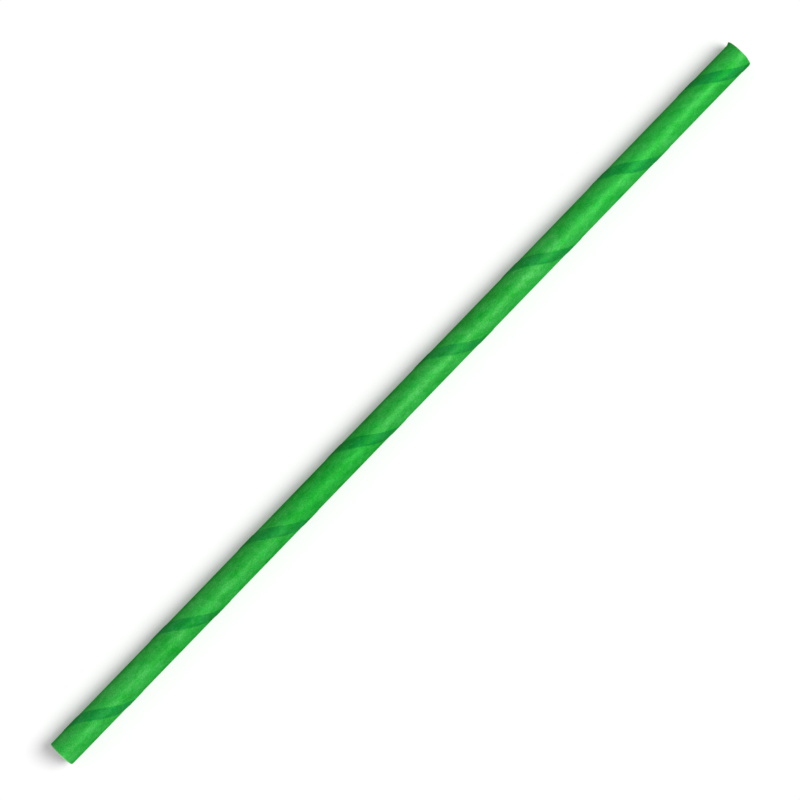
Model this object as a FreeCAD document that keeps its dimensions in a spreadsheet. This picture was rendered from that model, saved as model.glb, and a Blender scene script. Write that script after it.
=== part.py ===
import FreeCAD, Part
import os

import Sketcher

# A paper drinking straw, spiral wound from long strips of paper glued face to face.
# The strips are bonded into one wall, so the straw is a single solid.
# The outermost strip is printed and its edge laps over its own last turn, which leaves
# a low ridge, one thickness of that strip high, that runs round the tube as a helix.
#
# Frame: millimetres, +Z up, the straw lies on its side along X. The origin is under the
# middle of its length, on the surface that it lies on. The ridge is what touches that
# surface, and the paper gives a little there: along the line that it lies on, the ridge is
# pressed to a level strip with a low shoulder on each side.

# Driving sizes: name, value in millimetres, what it is.
SIZES = (
    ("straw_length", 197.0, "cut length of the straw"),
    ("outer_diameter", 6.0, "diameter outside, between the laps"),
    ("wall", 0.4, "all the plies together, between the laps"),
    ("printed_ply", 0.07, "the outermost strip of paper, pressed flat"),
    ("lap_pitch", 25.48, "travel of the lap along the straw in one turn"),
    ("lap_overlap", 2.25, "how far the strip covers its last turn, square to its edge"),
    ("lap_ramp", 0.5, "width over which the strip climbs on its last turn, square to its edge"),
    ("first_lap", 11.6, "middle of the first lap on the top line, from the -X end"),
    ("pressed_flat", 0.05, "height pressed off the lap on the line that the straw lies on"),
    ("flat_width", 1.0, "width of the level strip that this leaves"),
)

doc = FreeCAD.newDocument("DrinkingStraw")

sheet = doc.addObject("Spreadsheet::Sheet", "Sizes")
for row, (alias, value, meaning) in enumerate(SIZES, start=1):
    sheet.set(f"A{row}", alias)
    sheet.set(f"B{row}", str(value))
    sheet.set(f"C{row}", meaning)
    sheet.setAlias(f"B{row}", alias)
doc.recompute()

OUTER_RADIUS = "Sizes.outer_diameter / 2"
AXIS_HEIGHT = f"{OUTER_RADIUS} + Sizes.printed_ply - Sizes.pressed_flat"

# The angle between the lap and the axis has this tangent, so a width that is square to
# the lap grows to width / sin(angle) when it is measured along the axis.
LAP_ANGLE = "atan(pi * Sizes.outer_diameter / Sizes.lap_pitch)"
LAP_ALONG_AXIS = f"Sizes.lap_overlap / sin({LAP_ANGLE})"
RAMP_ALONG_AXIS = f"Sizes.lap_ramp / sin({LAP_ANGLE})"

# The tube is wound longer than the straw, by these turns before its -X end and after its
# +X end, and is then cut to length.
LEAD_IN_TURNS = 2
LEAD_OUT_TURNS = 1

# The section of the lap is drawn on the underside: degrees round the axis from the top
# line, the way the lap turns.
SECTION_TURN = 180

# What is pressed rises beside the level strip by this much of the distance from it. That is
# less steep than the lap's own round top there, so the strip's edges are straight.
SHOULDER_SLOPE = 0.08

# A sketch is drawn at rough sizes, which its constraints then set.
ROUGH_SIZE = 1.0

# How a sketch counts the points of one of its curves, and its own origin.
START = 1
END = 2
CENTRE = 3
SKETCH_ORIGIN = (-1, 1)


def origin_feature(body, role):
    """The body's own origin plane or axis of that role."""
    return next(item for item in body.Origin.OriginFeatures if item.Role == role)


def add_sketch(body, name, plane):
    """An empty sketch on one of the body's origin planes."""
    sketch = body.newObject("Sketcher::SketchObject", name)
    sketch.AttachmentSupport = [(origin_feature(body, plane), "")]
    sketch.MapMode = "FlatFace"
    return sketch


def bind(sketch, label, expression, kind, *places):
    """Add a dimension between the places, name it and tie it to the sheet."""
    index = sketch.addConstraint(Sketcher.Constraint(kind, *places, ROUGH_SIZE))
    sketch.renameConstraint(index, label)
    sketch.setExpression(f"Constraints.{label}", expression)


def add_centred_circle(sketch, label, expression):
    """A circle round the sketch's origin with its radius tied to the sheet."""
    rough_circle = Part.Circle(FreeCAD.Vector(0, 0, 0), FreeCAD.Vector(0, 0, 1), ROUGH_SIZE)
    circle = sketch.addGeometry(rough_circle, False)
    sketch.addConstraint(Sketcher.Constraint("Coincident", circle, CENTRE, *SKETCH_ORIGIN))
    bind(sketch, label, expression, "Radius", circle)


def add_closed_outline(sketch, corners):
    """Straight edges from corner to corner and back, joined end to end."""
    points = [FreeCAD.Vector(along, out, 0) for along, out in corners]
    edges = []
    for start, end in zip(points, points[1:] + points[:1]):
        edges.append(sketch.addGeometry(Part.LineSegment(start, end), False))
    for edge, following in zip(edges, edges[1:] + edges[:1]):
        sketch.addConstraint(Sketcher.Constraint("Coincident", edge, END, following, START))
    return edges


def add_wall(body):
    """The wound wall: a plain tube, longer than the straw by the turns that are cut off."""
    section = add_sketch(body, "WallSection", "YZ_Plane")
    add_centred_circle(section, "bore_radius", f"{OUTER_RADIUS} - Sizes.wall")
    add_centred_circle(section, "outer_radius", OUTER_RADIUS)

    wall = body.newObject("PartDesign::Pad", "Wall")
    wall.Profile = section
    wall.SideType = "Symmetric"
    spare_turns = 2 * (LEAD_IN_TURNS + LEAD_OUT_TURNS)
    wall.setExpression("Length", f"Sizes.straw_length + {spare_turns} * Sizes.lap_pitch")


def add_lap(body):
    """The ridge where the printed strip laps over its last turn, a right-handed helix.

    Its section, with +X to the right and the wall below, climbs over the covered edge in
    a ramp, stays level and ends in the strip's own free edge, a square step. Its foot is
    in the middle of the wall, which it is bonded to. The ramp starts as far inside the
    wall as it ends outside, so that it cuts the wall's surface cleanly half way up.
    """
    section = add_sketch(body, "LapSection", "XZ_Plane")
    turn = FreeCAD.Rotation(FreeCAD.Vector(1, 0, 0), SECTION_TURN)
    section.AttachmentOffset = FreeCAD.Placement(FreeCAD.Vector(0, 0, 0), turn)
    rough_corners = [(-3.0, 2.0), (-3.0, 3.0), (-2.0, 4.0), (2.0, 4.0), (2.0, 2.0)]
    back, ramp, top, free_edge, foot = add_closed_outline(section, rough_corners)
    for upright in (back, free_edge):
        section.addConstraint(Sketcher.Constraint("Vertical", upright))
    for level in (top, foot):
        section.addConstraint(Sketcher.Constraint("Horizontal", level))

    turns_before_first_lap = LEAD_IN_TURNS - SECTION_TURN / 360
    lap_middle = ("Sizes.straw_length / 2 - Sizes.first_lap"
                  f" + {turns_before_first_lap} * Sizes.lap_pitch")
    bind(section, "free_edge_to_middle", f"{lap_middle} - {LAP_ALONG_AXIS} / 2",
         "DistanceX", free_edge, START, *SKETCH_ORIGIN)
    bind(section, "lap_width", f"{LAP_ALONG_AXIS} + {RAMP_ALONG_AXIS}",
         "DistanceX", ramp, START, free_edge, START)
    bind(section, "ramp_width", f"2 * {RAMP_ALONG_AXIS}",
         "DistanceX", ramp, START, ramp, END)
    bind(section, "ramp_bottom", f"{OUTER_RADIUS} - Sizes.printed_ply",
         "DistanceY", *SKETCH_ORIGIN, ramp, START)
    bind(section, "lap_top", f"{OUTER_RADIUS} + Sizes.printed_ply",
         "DistanceY", *SKETCH_ORIGIN, top, START)
    bind(section, "lap_foot", f"{OUTER_RADIUS} - Sizes.wall / 2",
         "DistanceY", *SKETCH_ORIGIN, foot, START)
    doc.recompute()

    lap = body.newObject("PartDesign::AdditiveHelix", "Lap")
    lap.Profile = section
    lap.ReferenceAxis = (origin_feature(body, "X_Axis"), [""])
    lap.Mode = "pitch-height-angle"
    lap.LeftHanded = False
    turns = LEAD_IN_TURNS + LEAD_OUT_TURNS
    lap.setExpression("Pitch", "Sizes.lap_pitch")
    lap.setExpression("Height", f"Sizes.straw_length + {turns} * Sizes.lap_pitch")


def cut_to_length(body, name, side):
    """Cut the wound tube off square at one end; side is -1 for the -X end, 1 for +X."""
    section = add_sketch(body, f"{name}Section", "YZ_Plane")
    section.setExpression("AttachmentOffset.Base.z", f"{side} * Sizes.straw_length / 2")
    add_centred_circle(section, "cut_radius", "Sizes.outer_diameter")

    cut = body.newObject("PartDesign::Pocket", name)
    cut.Profile = section
    cut.Type = "ThroughAll"
    cut.Reversed = side > 0


def press_flat(body):
    """Take off the lap's lowest skin where the straw lies: a level strip and its shoulders."""
    section = add_sketch(body, "FlatSection", "YZ_Plane")
    rough_corners = [
        (-4.0, -4.0), (-4.0, -2.8), (-1.0, -3.0), (1.0, -3.0), (4.0, -2.8), (4.0, -4.0)
    ]
    outline = add_closed_outline(section, rough_corners)
    left, left_shoulder, level, right_shoulder, right, bottom = outline
    for upright in (left, right):
        section.addConstraint(Sketcher.Constraint("Vertical", upright))
    for flat in (level, bottom):
        section.addConstraint(Sketcher.Constraint("Horizontal", flat))

    reach = "Sizes.outer_diameter"
    rise = f"{SHOULDER_SLOPE} * ({reach} - Sizes.flat_width / 2)"
    bind(section, "flat_depth", AXIS_HEIGHT, "DistanceY", level, START, *SKETCH_ORIGIN)
    bind(section, "flat_middle", "Sizes.flat_width / 2", "DistanceX", level, START, *SKETCH_ORIGIN)
    bind(section, "flat_width", "Sizes.flat_width", "DistanceX", level, START, level, END)
    bind(section, "left_rise", rise, "DistanceY", left_shoulder, END, left_shoulder, START)
    bind(section, "right_rise", rise, "DistanceY", right_shoulder, START, right_shoulder, END)
    bind(section, "cut_middle", reach, "DistanceX", bottom, END, *SKETCH_ORIGIN)
    bind(section, "cut_width", f"2 * {reach}", "DistanceX", bottom, END, bottom, START)
    bind(section, "cut_depth", reach, "DistanceY", left, START, left, END)

    cut = body.newObject("PartDesign::Pocket", "PressedFlat")
    cut.Profile = section
    cut.Type = "ThroughAll"
    cut.SideType = "Symmetric"


def build_straw():
    """The whole straw: wall and lap, cut to length and laid on the floor."""
    body = doc.addObject("PartDesign::Body", "PaperStraw")
    body.Label = "paper_straw"
    add_wall(body)
    doc.recompute()
    add_lap(body)
    doc.recompute()
    cut_to_length(body, "CutNearEnd", -1)
    doc.recompute()
    cut_to_length(body, "CutFarEnd", 1)
    doc.recompute()
    press_flat(body)
    body.setExpression("Placement.Base.z", AXIS_HEIGHT)
    return body


def check_document(sub_parts):
    """Stop on a failed object or a bad shape."""
    for item in doc.Objects:
        failed = {"Invalid", "Error"} & set(item.State)
        if failed:
            raise RuntimeError(f"{item.Label} failed: {item.State}")
    for part in sub_parts:
        if part.Shape.isNull() or not part.Shape.isValid():
            raise RuntimeError(f"{part.Label} has no valid shape")
        if len(part.Shape.Solids) != 1:
            raise RuntimeError(f"{part.Label} has {len(part.Shape.Solids)} solids instead of 1")


SUB_PARTS = [build_straw()]
doc.recompute()
check_document(SUB_PARTS)

os.makedirs("parts", exist_ok=True)
for part in SUB_PARTS:
    part.Shape.exportStep(f"parts/{part.Label}.step")
    box = part.Shape.optimalBoundingBox()
    print(f"{part.Label}: {part.Shape.Volume:.1f} cubic mm, {len(part.Shape.Faces)} faces,",
          f"X {box.XMin:.3f} to {box.XMax:.3f},",
          f"Y {box.YMin:.3f} to {box.YMax:.3f},",
          f"Z {box.ZMin:.3f} to {box.ZMax:.3f}")
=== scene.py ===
"""Looks of a green, spiral-wound paper drinking straw that lies on a white floor."""

import math

import bmesh
import bpy
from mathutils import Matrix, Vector, noise

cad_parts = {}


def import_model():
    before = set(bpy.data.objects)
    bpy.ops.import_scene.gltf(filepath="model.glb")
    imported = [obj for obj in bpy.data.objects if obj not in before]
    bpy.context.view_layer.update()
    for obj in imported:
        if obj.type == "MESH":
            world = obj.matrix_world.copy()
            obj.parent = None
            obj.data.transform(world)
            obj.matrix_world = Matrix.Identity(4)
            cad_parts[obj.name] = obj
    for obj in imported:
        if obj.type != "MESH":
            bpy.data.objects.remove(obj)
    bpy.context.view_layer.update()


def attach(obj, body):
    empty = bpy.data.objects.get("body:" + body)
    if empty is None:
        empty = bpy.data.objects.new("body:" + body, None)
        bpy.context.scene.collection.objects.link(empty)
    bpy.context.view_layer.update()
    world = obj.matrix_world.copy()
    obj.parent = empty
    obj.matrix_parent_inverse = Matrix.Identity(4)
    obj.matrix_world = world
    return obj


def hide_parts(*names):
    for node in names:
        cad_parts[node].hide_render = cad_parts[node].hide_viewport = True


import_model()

MM = 0.001

# The straw's own sizes, as its source gives them.
STRAW_LENGTH = 197.0 * MM
OUTER_RADIUS = 3.0 * MM
WALL = 0.4 * MM
PRINTED_PLY = 0.07 * MM
PRESSED_FLAT = 0.05 * MM
LAP_PITCH = 25.48 * MM
LAP_OVERLAP = 2.25 * MM
LAP_RAMP = 0.5 * MM
FIRST_LAP = 11.6 * MM

HALF_LENGTH = STRAW_LENGTH / 2
BORE_RADIUS = OUTER_RADIUS - WALL
LAP_RADIUS = OUTER_RADIUS + PRINTED_PLY
AXIS_HEIGHT = LAP_RADIUS - PRESSED_FLAT

# The angle between the lap and the straw's axis. A width that is measured square to the lap
# is divided by the angle's sine to give the width along the axis.
LAP_ANGLE = math.atan2(2 * math.pi * OUTER_RADIUS, LAP_PITCH)
LAP_ALONG_AXIS = LAP_OVERLAP / math.sin(LAP_ANGLE)
RAMP_ALONG_AXIS = LAP_RAMP / math.sin(LAP_ANGLE)
FREE_EDGE_X = -HALF_LENGTH + FIRST_LAP + LAP_ALONG_AXIS / 2

# How finely the straw is modelled.
PLAIN_STEPS = 54
LEVEL_STEPS = 8
RAMP_STEPS = 3
SWEEP_STEP = 0.45 * MM
RIM_CUTS = 3
RIM_CHAMFER = 0.035 * MM
RIM_LOOPS = (0.12 * MM, 0.25 * MM, 0.4 * MM, 0.6 * MM)
SAME_POINT = 0.001 * MM
AT_THE_CUT = 0.01 * MM
SMOOTH_BELOW = math.radians(35)

# Handling has bent both rims in on the side that faces -Y: how far from the cut it reaches,
# how deep the rim goes in and how far it is drawn back at the -X end and at the +X end, and
# how nearly a point has to face -Y to be bent, where 1 is straight.
BENT_REACH = 0.6 * MM
BENT_DEPTH = {-1: 0.05 * MM, 1: 0.14 * MM}
BENT_DRAW = {-1: 0.06 * MM, 1: 0.15 * MM}
BENT_FACES = 0.35

# The rim at the +X end is frayed outwards where it faces +Y.
FRAY_REACH = 0.9 * MM
FRAY_LIFT = 0.28 * MM
FRAY_FACES = 0.93
FRAY_EDGE = 0.06
FRAY_MEAN = 0.6
FRAY_VARIES = 0.8
FRAY_GRAIN = 0.35 * MM

# Both cuts are a little uneven.
ROUGH_CUT = 0.03 * MM
ROUGH_REACH = 0.1 * MM
ROUGH_GRAIN = 0.6 * MM


def smooth(value):
    """From 0 to 1 with level ends."""
    value = min(1.0, max(0.0, value))
    return value * value * (3 - 2 * value)


def lap_turn(distance):
    """The angle that the lap turns through over a distance along the straw."""
    return 2 * math.pi * distance / LAP_PITCH


def on_section(x, angle, radius):
    """A point of the section at x: the angle is from the top towards -Y, about the axis."""
    return Vector((x, -radius * math.sin(angle), radius * math.cos(angle)))


def select_vertices(wanted):
    """In edit mode, select the vertices whose place is wanted, and nothing else."""
    bpy.ops.mesh.select_all(action="DESELECT")
    mesh = bmesh.from_edit_mesh(bpy.context.edit_object.data)
    for vertex in mesh.verts:
        vertex.select = wanted(vertex.co)
    mesh.select_flush(True)
    bmesh.update_edit_mesh(bpy.context.edit_object.data)


def select_faces(wanted):
    """In edit mode, select the faces that are wanted, and nothing else."""
    bpy.ops.mesh.select_all(action="DESELECT")
    mesh = bmesh.from_edit_mesh(bpy.context.edit_object.data)
    for face in mesh.faces:
        face.select = wanted(face)
    bmesh.update_edit_mesh(bpy.context.edit_object.data)


def extrude_by(step):
    bpy.ops.mesh.extrude_region_move(TRANSFORM_OT_translate={"value": step})


def spin_round(centre, angle, steps):
    """Draw an arc on, the way the lap turns, which the spin tool calls a turn about -X."""
    bpy.ops.mesh.spin(steps=steps, angle=angle, center=centre, axis=(-1, 0, 0))


def draw_wall_section(x):
    """The wall's outline at x: the lap's square edge, its level top, its ramp, the bore."""
    edge_angle = lap_turn(x - FREE_EDGE_X)
    level_turn = lap_turn(LAP_ALONG_AXIS - RAMP_ALONG_AXIS)
    ramp_turn = lap_turn(RAMP_ALONG_AXIS)
    plain_turn = 2 * math.pi - level_turn - ramp_turn
    centre = (x, 0.0, AXIS_HEIGHT)

    bpy.ops.mesh.select_all(action="SELECT")
    bpy.ops.mesh.merge(type="CENTER")
    edge_foot = on_section(x, edge_angle, OUTER_RADIUS)
    edge_top = on_section(x, edge_angle, LAP_RADIUS)
    bpy.ops.transform.translate(value=edge_foot)
    extrude_by(edge_top - edge_foot)
    spin_round(centre, level_turn, LEVEL_STEPS)
    last = on_section(x, edge_angle + level_turn, LAP_RADIUS)
    for step in range(1, RAMP_STEPS + 1):
        share = step / RAMP_STEPS
        radius = LAP_RADIUS - PRINTED_PLY * share
        following = on_section(x, edge_angle + level_turn + ramp_turn * share, radius)
        extrude_by(following - last)
        last = following
    spin_round(centre, plain_turn, PLAIN_STEPS)
    bpy.ops.mesh.select_all(action="SELECT")
    bpy.ops.mesh.remove_doubles(threshold=SAME_POINT)
    bpy.ops.mesh.primitive_circle_add(
        vertices=PLAIN_STEPS + LEVEL_STEPS + RAMP_STEPS + 1,
        radius=BORE_RADIUS,
        location=centre,
        rotation=(0, math.pi / 2, 0),
    )


def wind_wall(straw, length):
    """Sweep the section along the straw, turning with the lap."""
    winding = straw.modifiers.new("winding", "SCREW")
    winding.axis = "X"
    winding.angle = lap_turn(length)
    winding.screw_offset = length
    winding.steps = round(length / SWEEP_STEP)
    winding.render_steps = winding.steps
    winding.use_smooth_shade = True
    bpy.ops.object.modifier_apply(modifier=winding.name)


def close_cut_end(end):
    """Join the outside to the bore across the wall, and break the two corners of the cut."""
    select_vertices(lambda place: abs(place.x - end) < AT_THE_CUT)
    bpy.ops.mesh.bridge_edge_loops(number_cuts=RIM_CUTS, interpolation="LINEAR")
    bpy.ops.mesh.select_all(action="SELECT")
    bpy.ops.mesh.normals_make_consistent(inside=False)
    select_faces(lambda face: abs(face.calc_center_median().x - end) < AT_THE_CUT)
    bpy.ops.mesh.inset(thickness=RIM_CHAMFER, depth=RIM_CHAMFER)


def add_rim_loops():
    """More loops round the tube near its ends, so that the rims can be bent."""
    for side in (-1, 1):
        for distance in RIM_LOOPS:
            place = (side * (HALF_LENGTH - distance), 0, 0)
            bpy.ops.mesh.select_all(action="SELECT")
            bpy.ops.mesh.bisect(plane_co=place, plane_no=(1, 0, 0))


def press_on_floor():
    """Press what reaches below the floor to a level strip, about as wide as the source's."""
    select_vertices(lambda place: place.z < 0)
    bpy.ops.transform.resize(value=(1, 1, 0), center_override=(0, 0, 0))


def handle_rims(straw):
    """Bend and fray the rims, and make the cuts a little uneven."""
    axis = Vector((0.0, 0.0, AXIS_HEIGHT))
    middle_radius = BORE_RADIUS + WALL / 2
    for vertex in straw.data.vertices:
        side = -1 if vertex.co.x < 0 else 1
        to_end = HALF_LENGTH - abs(vertex.co.x)
        if to_end > FRAY_REACH:
            continue
        out = Vector((0.0, vertex.co.y, vertex.co.z)) - axis
        radius = out.length
        facing = -out.y / radius

        bent = smooth(1 - to_end / BENT_REACH)
        bent *= smooth((facing - BENT_FACES) / (1 - BENT_FACES))
        grow = -BENT_DEPTH[side] * bent
        draw = -BENT_DRAW[side] * bent
        if side > 0 and radius > middle_radius:
            torn = smooth((-facing - FRAY_FACES) / FRAY_EDGE) * smooth(1 - to_end / FRAY_REACH)
            ragged = FRAY_MEAN + FRAY_VARIES * noise.noise(vertex.co / FRAY_GRAIN)
            grow += FRAY_LIFT * torn * ragged
        if to_end < ROUGH_REACH:
            draw -= ROUGH_CUT * (0.5 + 0.5 * noise.noise(vertex.co / ROUGH_GRAIN))
        vertex.co += out / radius * grow + Vector((side * draw, 0, 0))


def make_straw(outside, bare):
    """The whole straw in one mesh: printed outside, bare bore and cut ends."""
    bpy.ops.object.select_all(action="DESELECT")
    bpy.ops.mesh.primitive_plane_add(size=MM, location=(0, 0, AXIS_HEIGHT))
    straw = bpy.context.object
    straw.name = "wound_straw"
    straw.data.name = "wound_straw"
    straw.data.materials.append(outside)
    straw.data.materials.append(bare)

    reach = HALF_LENGTH - RIM_CHAMFER
    bpy.ops.object.mode_set(mode="EDIT")
    draw_wall_section(-reach)
    bpy.ops.object.mode_set(mode="OBJECT")
    wind_wall(straw, 2 * reach)
    bpy.ops.object.transform_apply(location=True, rotation=True, scale=True)

    bpy.ops.object.mode_set(mode="EDIT")
    for end in (-reach, reach):
        close_cut_end(end)
    add_rim_loops()
    press_on_floor()
    middle_radius = (OUTER_RADIUS + BORE_RADIUS) / 2

    def is_bare(face):
        centre = face.calc_center_median()
        radius = math.hypot(centre.y, centre.z - AXIS_HEIGHT)
        faces_along = abs(face.normal.x) > 0.5
        is_cut = abs(centre.x) > reach - AT_THE_CUT and faces_along
        return radius < middle_radius or is_cut

    select_faces(is_bare)
    straw.active_material_index = 1
    bpy.ops.object.material_slot_assign()
    bpy.ops.mesh.select_all(action="DESELECT")
    bpy.ops.object.mode_set(mode="OBJECT")
    handle_rims(straw)
    bpy.ops.object.shade_smooth_by_angle(angle=SMOOTH_BELOW)
    return straw


def add_node(tree, kind, inputs=None, **settings):
    """A node with its settings, and its inputs set to values or linked to sockets."""
    node = tree.nodes.new(kind)
    for name, value in settings.items():
        setattr(node, name, value)
    for key, value in (inputs or {}).items():
        socket = node.inputs[key]
        if isinstance(value, bpy.types.NodeSocket):
            tree.links.new(value, socket)
        else:
            socket.default_value = value
    return node


def maths(tree, operation, first, second=0.0, third=0.0):
    inputs = {0: first, 1: second, 2: third}
    return add_node(tree, "ShaderNodeMath", inputs, operation=operation).outputs[0]


def times(tree, first, *others):
    """The product of all the values."""
    for other in others:
        first = maths(tree, "MULTIPLY", first, other)
    return first


def swing(tree, value, width):
    """A value from 0 to 1, spread evenly over that width with its middle at 0."""
    return maths(tree, "MULTIPLY_ADD", value, width, -width / 2)


def even_rise(tree, value, low, high, start=0.0, end=1.0, **settings):
    """From start to end at an even rate, as the value goes from low to high."""
    inputs = {"Value": value, "From Min": low, "From Max": high, "To Min": start, "To Max": end}
    return add_node(tree, "ShaderNodeMapRange", inputs, **settings).outputs["Result"]


def rise(tree, value, low, high, start=0.0, end=1.0):
    """The same with level ends."""
    return even_rise(tree, value, low, high, start, end, interpolation_type="SMOOTHSTEP")


def before(tree, value, place, soft):
    """1 below the place and 0 above it, with an edge that soft."""
    return rise(tree, value, place - soft / 2, place + soft / 2, 1.0, 0.0)


def after(tree, value, place, soft):
    """0 below the place and 1 above it, with an edge that soft."""
    return rise(tree, value, place - soft / 2, place + soft / 2)


def stripe(tree, value, low, high, soft):
    """1 between low and high, 0 outside, with edges that soft."""
    return times(tree, after(tree, value, low, soft), before(tree, value, high, soft))


def blend(tree, factor, first, second, kind="MIX"):
    """Mix two colours."""
    inputs = {0: factor, 6: first, 7: second}
    node = add_node(tree, "ShaderNodeMix", inputs, data_type="RGBA", blend_type=kind)
    return node.outputs[2]


def stretch(tree, vector, scale, turn=0.0):
    inputs = {"Vector": vector, "Rotation": (0, 0, turn), "Scale": scale}
    return add_node(tree, "ShaderNodeMapping", inputs).outputs["Vector"]


def cloud(tree, vector, scale=1.0, detail=2.0, roughness=0.5, distortion=0.0):
    inputs = {
        "Vector": vector,
        "Scale": scale,
        "Detail": detail,
        "Roughness": roughness,
        "Distortion": distortion,
    }
    return add_node(tree, "ShaderNodeTexNoise", inputs).outputs["Fac"]


def grey(value):
    return (value, value, value, 1)


def new_group(name, inputs, outputs):
    """An empty node group with float or vector sockets, and its two end nodes."""
    group = bpy.data.node_groups.new(name, "ShaderNodeTree")
    for direction, sockets in (("INPUT", inputs), ("OUTPUT", outputs)):
        for socket, kind in sockets.items():
            group.interface.new_socket(socket, in_out=direction, socket_type=kind)
    start = group.nodes.new("NodeGroupInput")
    end = group.nodes.new("NodeGroupOutput")
    return group, start, end


FLOAT = "NodeSocketFloat"
VECTOR = "NodeSocketVector"


def make_strip_group():
    """Where a point is on the wound strip, in millimetres.

    Edge At is where the strip's free edge crosses the top line. From Edge is the distance
    from the free edge, square to it and negative on the strip. Strip is the place on the
    strip: along it, across it.
    """
    group, start, end = new_group(
        "place on wound strip",
        {"Position": VECTOR, "Edge At": FLOAT},
        {"Strip": VECTOR, "From Edge": FLOAT},
    )
    pitch = LAP_PITCH / MM
    around = 2 * math.pi * OUTER_RADIUS / MM
    scaled = add_node(
        group,
        "ShaderNodeVectorMath",
        {0: start.outputs["Position"], "Scale": 1 / MM},
        operation="SCALE",
    )
    place = add_node(group, "ShaderNodeSeparateXYZ", {0: scaled.outputs[0]})
    x = place.outputs["X"]
    back = maths(group, "MULTIPLY", place.outputs["Y"], -1.0)
    height = maths(group, "SUBTRACT", place.outputs["Z"], AXIS_HEIGHT / MM)
    angle = maths(group, "ARCTAN2", back, height)
    turn = maths(group, "DIVIDE", angle, 2 * math.pi)

    # How many turns the point is past the free edge, and what is left of the last one.
    past_edge = maths(group, "SUBTRACT", x, start.outputs["Edge At"])
    turns = maths(group, "SUBTRACT", maths(group, "DIVIDE", past_edge, pitch), turn)
    whole = maths(group, "CEIL", turns)
    part = maths(group, "SUBTRACT", turns, whole)
    across = times(group, part, pitch * math.sin(LAP_ANGLE))
    wound = maths(group, "ADD", turn, whole)
    along = maths(
        group,
        "MULTIPLY_ADD",
        wound,
        around * math.sin(LAP_ANGLE),
        times(group, x, math.cos(LAP_ANGLE)),
    )
    strip = add_node(group, "ShaderNodeCombineXYZ", {"X": along, "Y": across})
    group.links.new(strip.outputs[0], end.inputs["Strip"])
    group.links.new(across, end.inputs["From Edge"])
    return group


# The noise that the paper's surface is made of. Patches and gloss are laid out on the straw,
# so many per metre along it and across it. The rest is laid out on the strip, so many per
# millimetre. A range is the part of the noise's values that is spread from 0 to 1.
PATCHES_PER_METRE = (250.0, 440.0, 440.0)
PATCHES_RANGE = (0.32, 0.68)
GLOSS_PER_METRE = (500.0, 900.0, 900.0)
GLOSS_TURN = 0.5
GLOSS_RANGE = (0.34, 0.66)
GRAIN_PER_MM = 4.0

# Three layers of fibres, each with its turn on the strip and its scale along and across.
FIBRE_LAYERS = (
    (0.15, (0.5, 4.0, 1.0)),
    (-0.9, (0.45, 3.2, 1.0)),
    (1.1, (0.6, 5.0, 1.0)),
)
FIBRE_WAVER = 0.6
FIBRE_THICKNESS = 0.018
BREAKS_PER_MM = 1.3
BREAKS_RANGE = (0.5, 0.68)

FLECKS_PER_MM = 0.42
FLECK_RADII = (0.03, 0.07)
FLECKS_LEFT_OUT = 0.72


def make_paper_group():
    """How paper varies from place to place, each from 0 to 1.

    Patches is mottle of every size up to a few millimetres, Gloss is another of the same
    kind, Grain is the fine tooth, Fibres are thin streaks and Flecks a few dark spots.
    """
    group, start, end = new_group(
        "paper surface",
        {"Position": VECTOR, "Strip": VECTOR},
        {"Patches": FLOAT, "Gloss": FLOAT, "Grain": FLOAT, "Fibres": FLOAT, "Flecks": FLOAT},
    )
    position = start.outputs["Position"]
    strip = start.outputs["Strip"]
    mottle = stretch(group, position, PATCHES_PER_METRE)
    patches = even_rise(group, cloud(group, mottle, detail=5.0, roughness=0.85), *PATCHES_RANGE)
    shine = stretch(group, position, GLOSS_PER_METRE, GLOSS_TURN)
    gloss = even_rise(group, cloud(group, shine, detail=5.0, roughness=0.9), *GLOSS_RANGE)
    grain = cloud(group, strip, GRAIN_PER_MM, detail=3.0, roughness=0.7)

    streaks = None
    for turn, scale in FIBRE_LAYERS:
        field = cloud(group, stretch(group, strip, scale, turn), distortion=FIBRE_WAVER)
        ridge = maths(group, "ABSOLUTE", maths(group, "SUBTRACT", field, 0.5))
        line = rise(group, ridge, 0.0, FIBRE_THICKNESS, 1.0, 0.0)
        streaks = line if streaks is None else maths(group, "MAXIMUM", streaks, line)
    broken = rise(group, cloud(group, strip, BREAKS_PER_MM, detail=1.0), *BREAKS_RANGE)
    fibres = times(group, streaks, broken)

    cells = add_node(group, "ShaderNodeTexVoronoi", {"Vector": strip, "Scale": FLECKS_PER_MM})
    near = rise(group, cells.outputs["Distance"], *FLECK_RADII, 1.0, 0.0)
    lot = add_node(group, "ShaderNodeSeparateColor", {0: cells.outputs["Color"]}).outputs[0]
    flecks = times(group, near, maths(group, "GREATER_THAN", lot, FLECKS_LEFT_OUT))

    for name, socket in (
        ("Patches", patches),
        ("Gloss", gloss),
        ("Grain", grain),
        ("Fibres", fibres),
        ("Flecks", flecks),
    ):
        group.links.new(socket, end.inputs[name])
    return group


def start_material(name):
    """A new material, its node tree and its shader."""
    material = bpy.data.materials.new(name)
    material.use_nodes = True
    return material, material.node_tree, material.node_tree.nodes["Principled BSDF"]


def set_plain(shader, values):
    """Set what is the same all over the surface on the shader's own sockets."""
    for name, value in values.items():
        shader.inputs[name].default_value = value


def read_paper(tree, groups, edge_at):
    """The point's place, and what the strip group and the paper group put out there."""
    strip_group, paper_group = groups
    position = add_node(tree, "ShaderNodeTexCoord").outputs["Object"]
    inputs = {"Position": position, "Edge At": edge_at}
    strip = add_node(tree, "ShaderNodeGroup", inputs, node_tree=strip_group).outputs
    inputs = {"Position": position, "Strip": strip["Strip"]}
    paper = add_node(tree, "ShaderNodeGroup", inputs, node_tree=paper_group).outputs
    return position, strip, paper


BUMP_STRENGTH = 0.5


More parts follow.
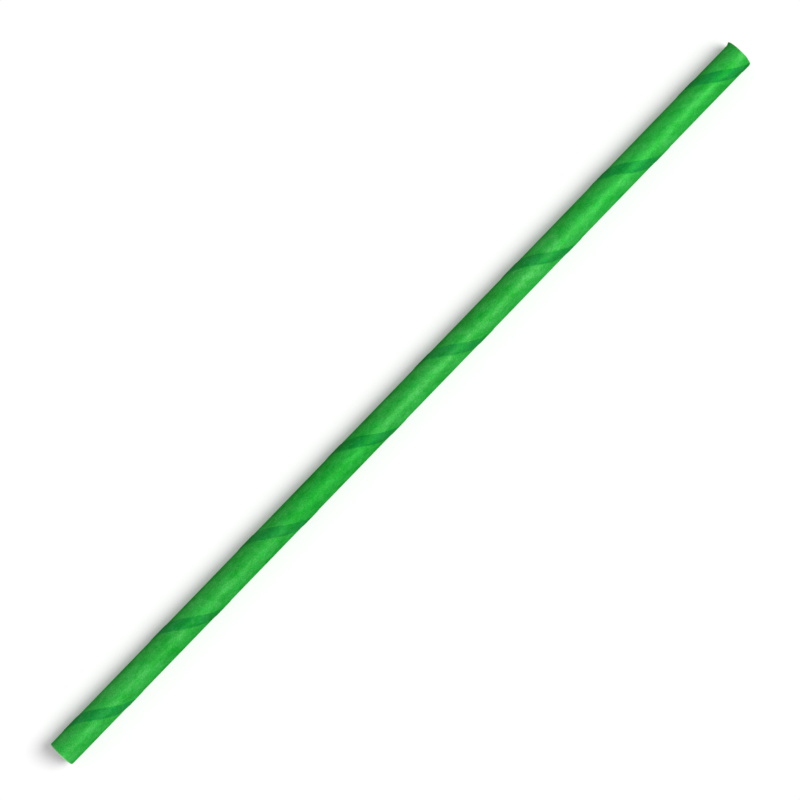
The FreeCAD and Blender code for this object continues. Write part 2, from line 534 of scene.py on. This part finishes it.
def raise_surface(tree, shader, height, distance):
    inputs = {"Height": height, "Strength": BUMP_STRENGTH, "Distance": distance}
    bump = add_node(tree, "ShaderNodeBump", inputs)
    tree.links.new(bump.outputs["Normal"], shader.inputs["Normal"])


# The print's greens, as reflected light: where the ink lies thick and where it is thin, then
# a fibre, a fleck and worn print.
INK_THICK = (0.0, 0.30, 0.019, 1)
INK_THIN = (0.026, 0.505, 0.067, 1)
FIBRE_GREEN = (0.11, 0.62, 0.16, 1)
FLECK_GREEN = (0.004, 0.10, 0.025, 1)
WORN_GREEN = (0.42, 0.72, 0.40, 1)
FIBRE_SHOWS = 0.3
FLECK_SHOWS = 0.8

# The ink also drifts slowly along the straw, and the paper's tooth shades it.
DRIFT_PER_METRE = (24.0, 60.0, 60.0)
DRIFT_RANGE = (0.3, 0.7)
DRIFT_MOST = 0.2
TOOTH_RANGE = (0.3, 0.7)
TOOTH_SHADES = (0.84, 1.16)

# Across the strip, in millimetres from its free edge: where the print looks darker because the
# strip lies over its last turn, two stripes where it is paler and whiter, and where the seams
# of the plies below show.
LAP_DARK = (-2.2, 0.0)
LAP_TINT = (0.22, 0.62, 1.0, 1)
LAP_PALE = (-4.7, -3.8)
PALE_TINT = (1.6, 1.05, 1.2, 1)
LAP_BESIDE = (-13.4, -11.9)
BESIDE_TINT = (1.6, 1.03, 1.2, 1)
SEAM_BELOW = (-7.6, -6.4)
SEAM_TINT = (0.40, 0.92, 0.74, 1)

# How far those edges stray and how soft they are, in millimetres: all stray with the grain
# and along the free edge, and the ones that are covered stray more.
GRAIN_STRAYS = 0.3
FREE_EDGE_PER_MM = 0.25
FREE_EDGE_STRAYS = 0.4
COVERED_EDGE_PER_MM = 0.045
COVERED_EDGE_STRAYS = 1.6
FREE_EDGE_SOFT = 0.2
COVERED_EDGE_SOFT = 0.3
SEAM_SOFT = 0.8

# The print is worn off round the rim of the -X end.
WORN_REACH = (0.06 * MM, 0.16 * MM)
WORN_STRAYS = 0.16 * MM

# The varnish: how much of it there is at least and at most, how that changes with the grain
# and from thick ink to thin, and along the straw in millimetres two stretches that have less.
VARNISH_WEIGHTS = (0.04, 0.8)
VARNISH_ON_GRAIN = (0.55, 1.45)
VARNISH_GRAIN_RANGE = (0.34, 0.66)
VARNISH_ON_INK = (0.6, 1.4)
MATT_STRETCHES = ((-32.0, -8.0), (47.0, 120.0))
MATT_SOFT = 14.0
MATT_PART = 0.5
LAP_VARNISH = 0.45
VARNISH_ROUGHNESS = 0.48
VARNISH_IOR = 1.9

# The printed paper under it. Seen at a low angle it is duller, and the varnish shows less.
INK_ROUGHNESS = (0.46, 0.58)
INK_ROUGHNESS_RANGE = (0.2, 0.8)
INK_IOR = 1.75
SHEEN_TINT = (0.0, 1.0, 0.0, 1)
LOW_ANGLE_VARNISH = 0.1
LOW_ANGLE_VARNISH_RANGE = (0.2, 0.6)
LOW_ANGLE_ROUGHNESS = 0.4
LOW_ANGLE_ROUGHNESS_RANGE = (0.2, 0.7)
FIBRE_RELIEF = 0.25
INK_RELIEF = 0.035 * MM


def find_edges(tree, strip, grain):
    """The distance from the strip's free edge, with that edge's strays and with the others'."""
    along = strip["Strip"]
    free = stretch(tree, along, (FREE_EDGE_PER_MM, 0.0, 0.0))
    free = swing(tree, cloud(tree, free, detail=3.0, roughness=0.6), FREE_EDGE_STRAYS)
    edge = maths(tree, "ADD", strip["From Edge"], swing(tree, grain, GRAIN_STRAYS))
    edge = maths(tree, "ADD", edge, free)
    covered = stretch(tree, along, (COVERED_EDGE_PER_MM, 0.0, 0.0))
    covered = swing(tree, cloud(tree, covered, roughness=0.6), COVERED_EDGE_STRAYS)
    return edge, maths(tree, "ADD", edge, covered)


def make_outside_paper(groups):
    """Green printed paper: mottled ink over fibres, thinly varnished, darker along the lap."""
    material, tree, shader = start_material("green printed paper")
    position, strip, paper = read_paper(tree, groups, FREE_EDGE_X / MM)
    grain = paper["Grain"]
    x = add_node(tree, "ShaderNodeSeparateXYZ", {0: position}).outputs["X"]

    drift = cloud(tree, stretch(tree, position, DRIFT_PER_METRE), detail=1.0)
    drift = rise(tree, drift, *DRIFT_RANGE, -DRIFT_MOST, DRIFT_MOST)
    thin = maths(tree, "ADD", paper["Patches"], drift)
    ink = blend(tree, thin, INK_THICK, INK_THIN)
    tooth = rise(tree, grain, *TOOTH_RANGE, *TOOTH_SHADES)
    ink = add_node(tree, "ShaderNodeVectorMath", {0: ink, "Scale": tooth}, operation="SCALE")
    ink = ink.outputs[0]

    edge, covered_edge = find_edges(tree, strip, grain)
    lap = times(
        tree,
        after(tree, covered_edge, LAP_DARK[0], COVERED_EDGE_SOFT),
        before(tree, edge, LAP_DARK[1], FREE_EDGE_SOFT),
    )
    for mask, tint in (
        (lap, LAP_TINT),
        (stripe(tree, covered_edge, *LAP_PALE, SEAM_SOFT), PALE_TINT),
        (stripe(tree, edge, *LAP_BESIDE, SEAM_SOFT), BESIDE_TINT),
        (stripe(tree, covered_edge, *SEAM_BELOW, SEAM_SOFT), SEAM_TINT),
    ):
        ink = blend(tree, mask, ink, blend(tree, 1.0, ink, tint, "MULTIPLY"))
    ink = blend(tree, times(tree, paper["Fibres"], FIBRE_SHOWS), ink, FIBRE_GREEN)
    ink = blend(tree, times(tree, paper["Flecks"], FLECK_SHOWS), ink, FLECK_GREEN)
    rim = maths(tree, "MULTIPLY_ADD", grain, WORN_STRAYS, -HALF_LENGTH)
    worn = rise(tree, maths(tree, "SUBTRACT", x, rim), *WORN_REACH, 1.0, 0.0)
    ink = blend(tree, worn, ink, WORN_GREEN)
    tree.links.new(ink, shader.inputs["Base Color"])

    facing = add_node(tree, "ShaderNodeLayerWeight", {"Blend": 0.5}).outputs["Facing"]
    varnish = [
        even_rise(tree, paper["Gloss"], 0.0, 1.0, *VARNISH_WEIGHTS),
        rise(tree, grain, *VARNISH_GRAIN_RANGE, *VARNISH_ON_GRAIN),
        even_rise(tree, thin, 0.0, 1.0, *VARNISH_ON_INK),
    ]
    for low, high in MATT_STRETCHES:
        matt = stripe(tree, x, low * MM, high * MM, MATT_SOFT * MM)
        varnish.append(rise(tree, matt, 0.0, 1.0, 1.0, MATT_PART))
    varnish.append(rise(tree, lap, 0.0, 1.0, 1.0, LAP_VARNISH))
    varnish.append(rise(tree, facing, *LOW_ANGLE_VARNISH_RANGE, 1.0, LOW_ANGLE_VARNISH))
    tree.links.new(times(tree, *varnish), shader.inputs["Coat Weight"])

    dull = rise(tree, grain, *INK_ROUGHNESS_RANGE, *INK_ROUGHNESS)
    duller = rise(tree, facing, *LOW_ANGLE_ROUGHNESS_RANGE, 0.0, LOW_ANGLE_ROUGHNESS)
    tree.links.new(maths(tree, "ADD", dull, duller), shader.inputs["Roughness"])
    set_plain(
        shader,
        {
            "Coat Roughness": VARNISH_ROUGHNESS,
            "Coat IOR": VARNISH_IOR,
            "IOR": INK_IOR,
            "Specular IOR Level": 1.0,
            "Specular Tint": SHEEN_TINT,
        },
    )
    height = maths(tree, "MULTIPLY_ADD", paper["Fibres"], FIBRE_RELIEF, grain)
    raise_surface(tree, shader, height, INK_RELIEF)
    return material


PAPER_WHITE = (0.78, 0.76, 0.70, 1)
PAPER_SHADE = (0.66, 0.63, 0.56, 1)
PLY_LINE = (0.50, 0.49, 0.40, 1)
BARE_ROUGHNESS = 0.85
BARE_SPECULAR = 0.25
BARE_RELIEF = 0.02 * MM
BARE_FLECK_SHOWS = 0.3

# In millimetres: where the bore's seam crosses the top line and how wide and soft it is, and
# the radii at which two plies meet, with the width and softness of the line that they make.
INNER_SEAM = -40.0
INNER_SEAM_WIDTH = 0.35
INNER_SEAM_SOFT = 0.1
INNER_SEAM_SHOWS = 0.5
PLY_RADII = (2.68, 2.83, 2.98)
PLY_LINE_WIDTH = 0.024
PLY_LINE_SOFT = 0.015
PLY_LINE_SHOWS = 0.7

# How near to the end of the straw the lines between the plies come in.
PLY_LINES_REACH = (0.15 * MM, 0.08 * MM)


def make_bare_paper(groups):
    """Unprinted paper of the bore and the cut ends, with the glued plies as faint lines."""
    material, tree, shader = start_material("bare white paper")
    position, strip, paper = read_paper(tree, groups, INNER_SEAM)

    colour = blend(tree, paper["Patches"], PAPER_SHADE, PAPER_WHITE)
    seam = stripe(tree, strip["From Edge"], -INNER_SEAM_WIDTH, 0.0, INNER_SEAM_SOFT)
    colour = blend(tree, times(tree, seam, INNER_SEAM_SHOWS), colour, PLY_LINE)

    place = add_node(tree, "ShaderNodeSeparateXYZ", {0: position})
    height = maths(tree, "SUBTRACT", place.outputs["Z"], AXIS_HEIGHT)
    squares = maths(tree, "POWER", place.outputs["Y"], 2.0)
    squares = maths(tree, "ADD", squares, maths(tree, "POWER", height, 2.0))
    radius = maths(tree, "DIVIDE", maths(tree, "SQRT", squares), MM)
    out = maths(tree, "ABSOLUTE", place.outputs["X"])
    at_end = rise(tree, out, *(HALF_LENGTH - reach for reach in PLY_LINES_REACH))
    half_width = PLY_LINE_WIDTH / 2
    for ply in PLY_RADII:
        line = stripe(tree, radius, ply - half_width, ply + half_width, PLY_LINE_SOFT)
        colour = blend(tree, times(tree, line, at_end, PLY_LINE_SHOWS), colour, PLY_LINE)
    colour = blend(tree, times(tree, paper["Flecks"], BARE_FLECK_SHOWS), colour, PLY_LINE)
    tree.links.new(colour, shader.inputs["Base Color"])

    set_plain(shader, {"Roughness": BARE_ROUGHNESS, "Specular IOR Level": BARE_SPECULAR})
    tooth = maths(tree, "ADD", paper["Grain"], paper["Fibres"])
    raise_surface(tree, shader, tooth, BARE_RELIEF)
    return material


# The light: one big soft lamp off to one side, and an even surround. Each number is how
# bright that light alone makes a level white surface, where 1 is white.
KEY_BRIGHTNESS = 0.65
SURROUND = 0.30
KEY_DIRECTION = Vector((0.62, -0.47, 1.0))
KEY_SPREAD = math.radians(35)

# The floor: how pale it is to the light, and to the camera how pale it is and how much even
# white is added, which together are white outside the shadow.
FLOOR_SIZE = 6.0
FLOOR_BOUNCE = 0.45
FLOOR_SHARE = 0.80
FLOOR_GLOW = 0.265


def seen_directly(tree):
    """1 for what the camera sees, straight or through glass, and 0 for all other rays."""
    rays = add_node(tree, "ShaderNodeLightPath")
    seen = rays.outputs["Is Camera Ray"]
    return maths(tree, "MAXIMUM", seen, rays.outputs["Is Transmission Ray"])


def make_floor():
    """A white floor that keeps the straw's shadow."""
    bpy.ops.object.select_all(action="DESELECT")
    bpy.ops.mesh.primitive_plane_add(size=FLOOR_SIZE, location=(0, 0, 0))
    floor = bpy.context.object
    floor.name = "floor"
    material, tree, shader = start_material("white floor")
    seen = seen_directly(tree)
    colour = blend(tree, seen, grey(FLOOR_BOUNCE), grey(FLOOR_SHARE))
    glow = blend(tree, seen, grey(0.0), grey(FLOOR_GLOW))
    tree.links.new(colour, shader.inputs["Base Color"])
    tree.links.new(glow, shader.inputs["Emission Color"])
    set_plain(shader, {"Emission Strength": 1.0, "Roughness": 1.0, "Specular IOR Level": 0.0})
    floor.data.materials.append(material)


def make_light():
    """The soft lamp and the surround, which the camera sees as white."""
    lamp = bpy.data.lights.new("soft lamp", "SUN")
    lamp.angle = KEY_SPREAD
    direction = KEY_DIRECTION.normalized()
    lamp.energy = math.pi * KEY_BRIGHTNESS / direction.z
    holder = bpy.data.objects.new("soft lamp", lamp)
    holder.location = direction
    holder.rotation_euler = direction.to_track_quat("Z", "Y").to_euler()
    bpy.context.scene.collection.objects.link(holder)

    world = bpy.data.worlds.new("surround")
    bpy.context.scene.world = world
    world.use_nodes = True
    tree = world.node_tree
    colour = blend(tree, seen_directly(tree), grey(SURROUND), grey(1.0))
    tree.links.new(colour, tree.nodes["Background"].inputs["Color"])


# The camera looks straight down, and the straw runs from lower left to upper right.
STRAW_SLOPE = math.radians(45.93)
CAMERA_RISE = 740.0 * MM
CAMERA_PLACE = (0.404 * MM, 0.630 * MM)
CAMERA_LENS = 165.0
CAMERA_SENSOR = 36.0
CAMERA_NEAR = 0.01
CAMERA_FAR = 20.0


def make_camera():
    camera = bpy.data.cameras.new("camera")
    camera.lens = CAMERA_LENS
    camera.sensor_width = CAMERA_SENSOR
    camera.clip_start = CAMERA_NEAR
    camera.clip_end = CAMERA_FAR
    holder = bpy.data.objects.new("camera", camera)
    holder.location = (*CAMERA_PLACE, AXIS_HEIGHT + CAMERA_RISE)
    holder.rotation_euler = (0, 0, -STRAW_SLOPE)
    bpy.context.scene.collection.objects.link(holder)
    bpy.context.scene.camera = holder


paper_groups = (make_strip_group(), make_paper_group())
outside_paper = make_outside_paper(paper_groups)
bare_paper = make_bare_paper(paper_groups)
straw = make_straw(outside_paper, bare_paper)
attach(straw, "root")
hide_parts("paper_straw")

make_floor()
make_light()
make_camera()
bpy.context.scene.view_settings.view_transform = "Standard"
